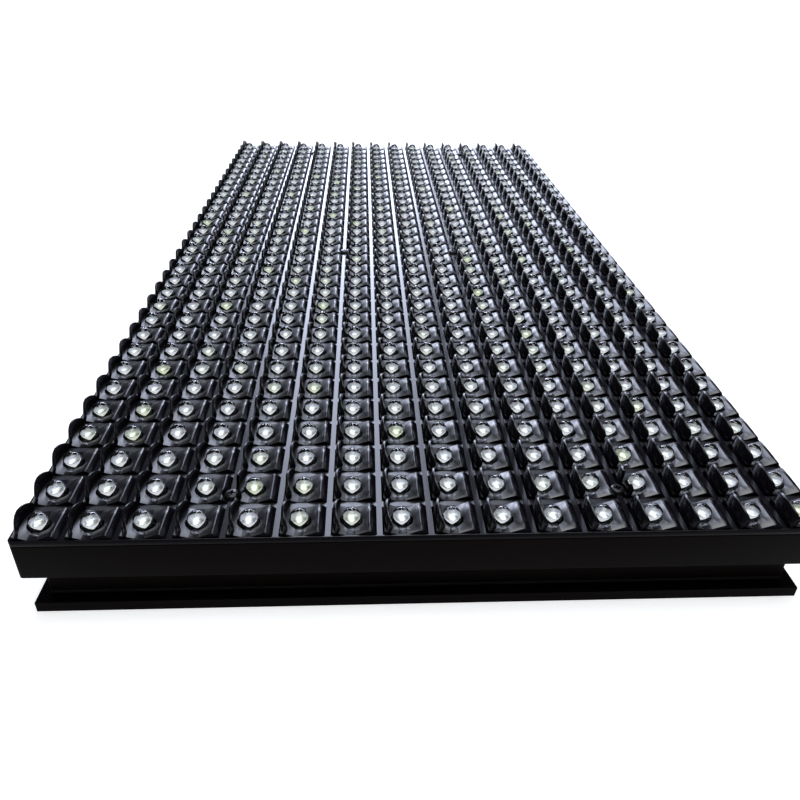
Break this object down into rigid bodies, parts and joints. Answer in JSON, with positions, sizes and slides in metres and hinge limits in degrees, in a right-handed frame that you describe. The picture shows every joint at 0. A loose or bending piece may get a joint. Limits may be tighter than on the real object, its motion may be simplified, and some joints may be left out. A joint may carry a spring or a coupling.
{
  "type": "led display panel",
  "caption": "Flat outdoor LED display panel with round white LEDs behind a black louvre mask, a hood beside each LED, in a stepped case with a rear cover for fixing and cabling.",
  "frame": {"origin": "centre of the rear cover's outer face", "axes": "+Z out of the LED side, +Y along the long side, +X along the short side"},
  "size_m": [0.159, 0.319, 0.0236],
  "materials": {
    "mask_plastic": "fine satin moulded black with a bluish sheen",
    "black_screw": "black oxide",
    "case_plastic": "satin moulded black, slightly warm",
    "board": "green solder mask",
    "gasket_rubber": "matte",
    "cover_plastic": "satin moulded black",
    "screw_steel": "zinc plated",
    "insert_brass": "machined",
    "socket_plastic": "moulded black",
    "pin_brass": "gold plated",
    "power_nylon": "natural white",
    "pin_steel": "tin plated",
    "chip_resin": "moulded resin",
    "capacitor_can": "sleeved can",
    "ceramic": "fired",
    "led_lens": "clear polished resin over a white die"
  },
  "bodies": {
    "root": {"front_mask": "mask_plastic", "mask_screws": "black_screw", "front_case": "case_plastic", "circuit_board": "board", "case_gasket": "gasket_rubber", "rear_cover": "cover_plastic", "cover_screws": "screw_steel", "mount_inserts": "insert_brass", "data_in_socket": "socket_plastic", "data_in_pins": "pin_brass", "data_out_socket": "socket_plastic", "data_out_pins": "pin_brass", "power_socket": "power_nylon", "power_pins": "pin_steel", "shift_registers": "chip_resin", "row_switches": "chip_resin", "line_buffers": "chip_resin", "row_decoder": "chip_resin", "bulk_capacitors": "capacitor_can", "ceramic_capacitors": "ceramic", "resistor_arrays": "chip_resin", "led_column_01": "led_lens", "led_column_02": "led_lens", "led_column_03": "led_lens", "led_column_04": "led_lens", "led_column_05": "led_lens", "led_column_06": "led_lens", "led_column_07": "led_lens", "led_column_08": "led_lens", "led_column_09": "led_lens", "led_column_10": "led_lens", "led_column_11": "led_lens", "led_column_12": "led_lens", "led_column_13": "led_lens", "led_column_14": "led_lens", "led_column_15": "led_lens", "led_column_16": "led_lens"}
  },
  "joints": []
}
